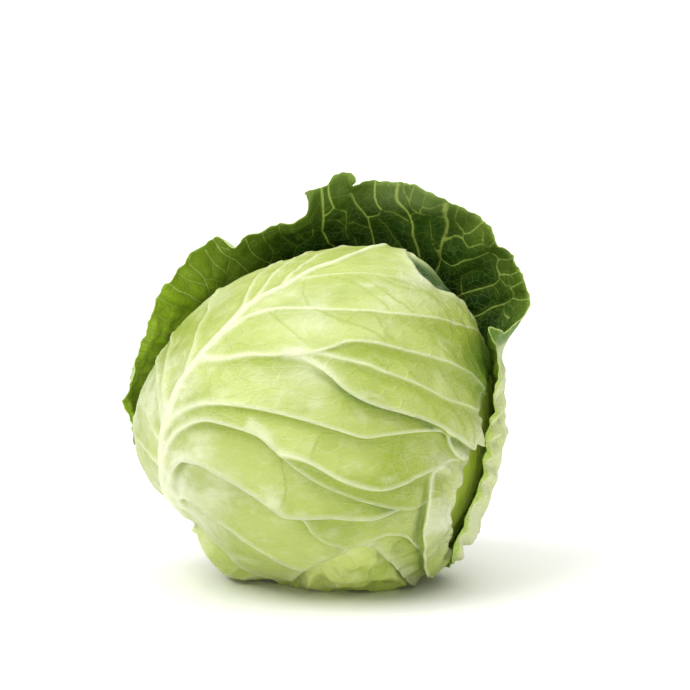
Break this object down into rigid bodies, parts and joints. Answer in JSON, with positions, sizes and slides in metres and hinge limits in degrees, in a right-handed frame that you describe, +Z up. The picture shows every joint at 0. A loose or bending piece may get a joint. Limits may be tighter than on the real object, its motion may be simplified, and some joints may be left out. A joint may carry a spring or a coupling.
{
  "type": "cabbage head",
  "caption": "White cabbage lying on its side: a packed heart, pale ribbed wrapper leaves closed round it, and a loose dark green outer leaf cupped behind, with a cut stem.",
  "frame": {"origin": "the middle of the flat rest spot under the head, on the surface it rests on", "axes": "+Z is up off the rest spot; -Y is the side the front wrapper leaf covers; +X is to its right, the crown side; the cut stem points to -X, +Y and down"},
  "size_m": [0.206, 0.1835, 0.2042],
  "materials": {
    "heart_leaf": "satin waxy leaf",
    "stem": "cut fibrous stem, dull",
    "lower_leaf": "satin waxy leaf",
    "crown_leaf": "satin waxy leaf",
    "front_leaf": "satin waxy leaf with a pale bloom",
    "outer_leaf": "satin waxy leaf, pale veins"
  },
  "bodies": {
    "root": {"heart": "heart_leaf", "stem_stump": "stem", "lower_wrapper_leaf": "lower_leaf", "crown_wrapper_leaf": "crown_leaf", "front_wrapper_leaf": "front_leaf", "loose_outer_leaf": "outer_leaf"}
  },
  "joints": []
}
